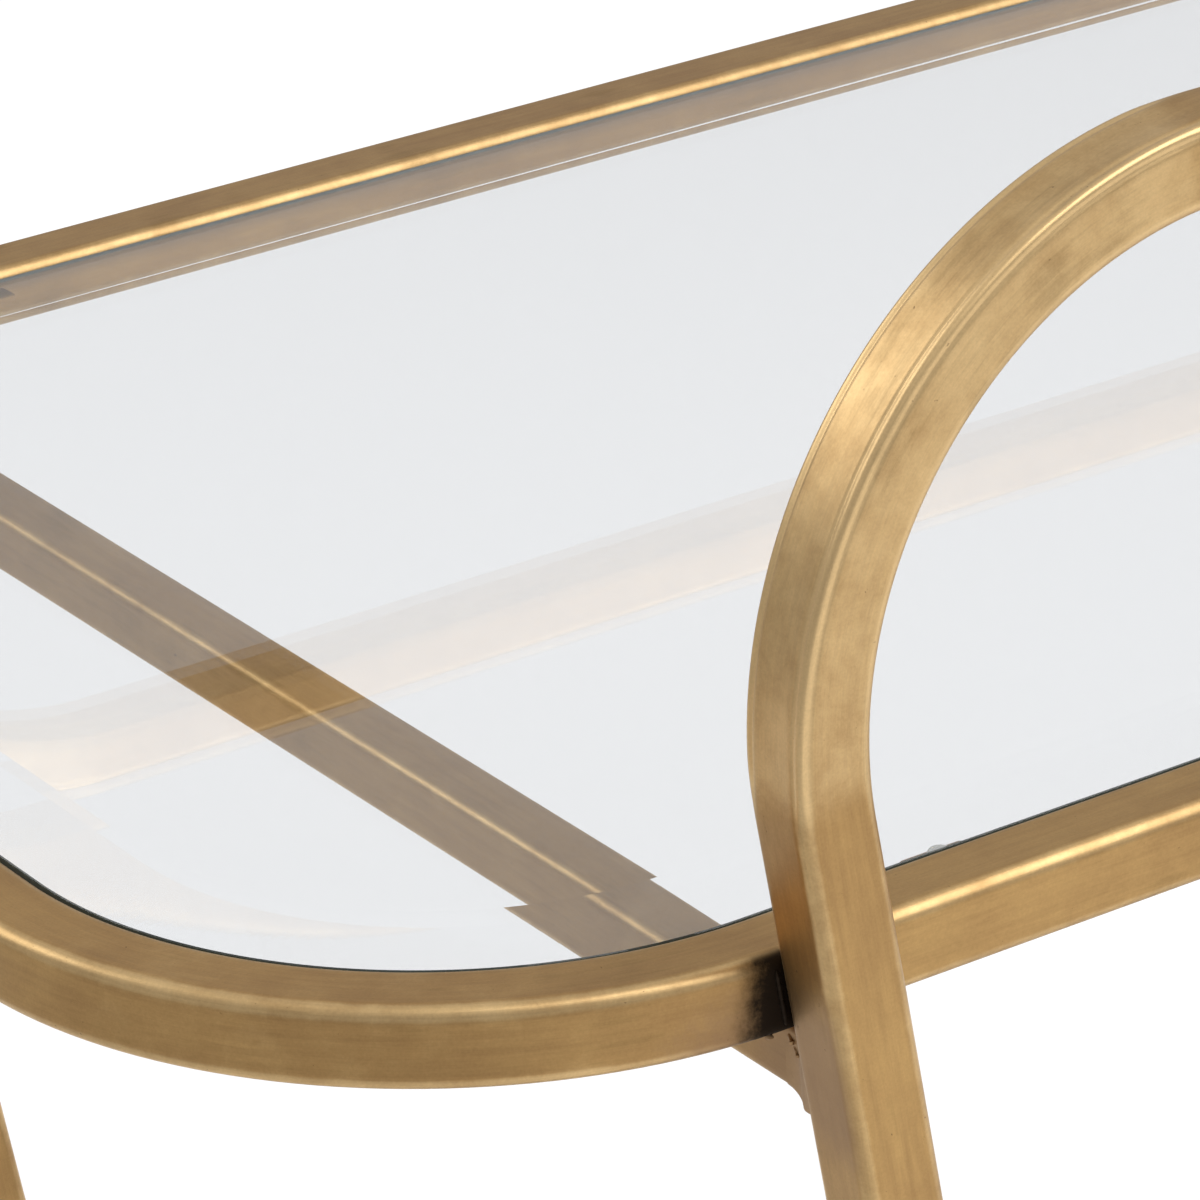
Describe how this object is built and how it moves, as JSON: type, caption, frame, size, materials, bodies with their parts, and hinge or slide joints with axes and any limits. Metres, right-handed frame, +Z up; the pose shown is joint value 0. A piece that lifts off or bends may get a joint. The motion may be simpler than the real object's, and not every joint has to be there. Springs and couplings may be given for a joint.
{
  "type": "bar cart on wheels",
  "caption": "Two-tier bar cart: round-cornered square-tube shelf rings with bevelled glass hang between two bent-tube hoops that form legs and handles, on swivel casters.",
  "frame": {"origin": "on the floor, below the centre of the cart's bounding box", "axes": "+X along the shelves' length, away from the braked casters; +Y from the front hoop to the back hoop; +Z up"},
  "size_m": [0.92, 0.525, 0.8602],
  "materials": {
    "aged_brass": "brushed antique gold with brown streaks, satin",
    "clear_glass": "clear, polished, with a wide bevelled edge",
    "silicone": "soft, translucent",
    "tyre_rubber": "matt black",
    "hub_plastic": "satin black",
    "plated_steel": "zinc-plated"
  },
  "bodies": {
    "cart": {"front_hoop": "aged_brass", "back_hoop": "aged_brass", "top_shelf_ring": "aged_brass", "top_cross_bar_left": "aged_brass", "top_cross_bar_right": "aged_brass", "top_tab_front_left": "aged_brass", "top_bumper_front_left": "silicone", "top_tab_front_right": "aged_brass", "top_bumper_front_right": "silicone", "top_tab_back_left": "aged_brass", "top_bumper_back_left": "silicone", "top_tab_back_right": "aged_brass", "top_bumper_back_right": "silicone", "top_tab_left_end": "aged_brass", "top_bumper_left_end": "silicone", "top_tab_right_end": "aged_brass", "top_bumper_right_end": "silicone", "top_glass": "clear_glass", "low_shelf_ring": "aged_brass", "low_cross_bar_left": "aged_brass", "low_cross_bar_right": "aged_brass", "low_tab_front_left": "aged_brass", "low_bumper_front_left": "silicone", "low_tab_front_right": "aged_brass", "low_bumper_front_right": "silicone", "low_tab_back_left": "aged_brass", "low_bumper_back_left": "silicone", "low_tab_back_right": "aged_brass", "low_bumper_back_right": "silicone", "low_tab_left_end": "aged_brass", "low_bumper_left_end": "silicone", "low_tab_right_end": "aged_brass", "low_bumper_right_end": "silicone", "low_glass": "clear_glass", "leg_end_plate_front_left": "aged_brass", "caster_stem_front_left": "plated_steel", "leg_end_plate_front_right": "aged_brass", "caster_stem_front_right": "plated_steel", "leg_end_plate_back_left": "aged_brass", "caster_stem_back_left": "plated_steel", "leg_end_plate_back_right": "aged_brass", "caster_stem_back_right": "plated_steel"},
    "swivel_front_left": {"caster_fork_front_left": "aged_brass", "caster_axle_front_left": "plated_steel"},
    "wheel_front_left": {"wheel_hub_front_left": "hub_plastic", "wheel_tyre_front_left": "tyre_rubber"},
    "pedal_front_left": {"brake_pedal_front_left": "aged_brass"},
    "swivel_front_right": {"caster_fork_front_right": "aged_brass", "caster_axle_front_right": "plated_steel"},
    "wheel_front_right": {"wheel_hub_front_right": "hub_plastic", "wheel_tyre_front_right": "tyre_rubber"},
    "swivel_back_left": {"caster_fork_back_left": "aged_brass", "caster_axle_back_left": "plated_steel"},
    "wheel_back_left": {"wheel_hub_back_left": "hub_plastic", "wheel_tyre_back_left": "tyre_rubber"},
    "pedal_back_left": {"brake_pedal_back_left": "aged_brass"},
    "swivel_back_right": {"caster_fork_back_right": "aged_brass", "caster_axle_back_right": "plated_steel"},
    "wheel_back_right": {"wheel_hub_back_right": "hub_plastic", "wheel_tyre_back_right": "tyre_rubber"}
  },
  "joints": [
    {"name": "caster_swivel_front_left", "type": "hinge", "parent": "cart", "child": "swivel_front_left", "pos_m": [-0.22059, -0.2453, 0.058], "axis": [0, 0, 1], "continuous": true},
    {"name": "wheel_spin_front_left", "type": "hinge", "parent": "swivel_front_left", "child": "wheel_front_left", "pos_m": [-0.23858, -0.2453, 0.025], "axis": [0, 1, 0], "continuous": true},
    {"name": "brake_pedal_front_left", "type": "hinge", "parent": "swivel_front_left", "child": "pedal_front_left", "pos_m": [-0.25389, -0.2453, 0.0515], "axis": [0, -1, 0], "range_deg": [0, 30]},
    {"name": "caster_swivel_front_right", "type": "hinge", "parent": "cart", "child": "swivel_front_right", "pos_m": [0.22059, -0.2453, 0.058], "axis": [0, 0, 1], "continuous": true},
    {"name": "wheel_spin_front_right", "type": "hinge", "parent": "swivel_front_right", "child": "wheel_front_right", "pos_m": [0.20258, -0.2453, 0.025], "axis": [0, 1, 0], "continuous": true},
    {"name": "caster_swivel_back_left", "type": "hinge", "parent": "cart", "child": "swivel_back_left", "pos_m": [-0.22059, 0.2453, 0.058], "axis": [0, 0, 1], "continuous": true},
    {"name": "wheel_spin_back_left", "type": "hinge", "parent": "swivel_back_left", "child": "wheel_back_left", "pos_m": [-0.23858, 0.2453, 0.025], "axis": [0, 1, 0], "continuous": true},
    {"name": "brake_pedal_back_left", "type": "hinge", "parent": "swivel_back_left", "child": "pedal_back_left", "pos_m": [-0.25389, 0.2453, 0.0515], "axis": [0, -1, 0], "range_deg": [0, 30]},
    {"name": "caster_swivel_back_right", "type": "hinge", "parent": "cart", "child": "swivel_back_right", "pos_m": [0.22059, 0.2453, 0.058], "axis": [0, 0, 1], "continuous": true},
    {"name": "wheel_spin_back_right", "type": "hinge", "parent": "swivel_back_right", "child": "wheel_back_right", "pos_m": [0.20258, 0.2453, 0.025], "axis": [0, 1, 0], "continuous": true}
  ]
}
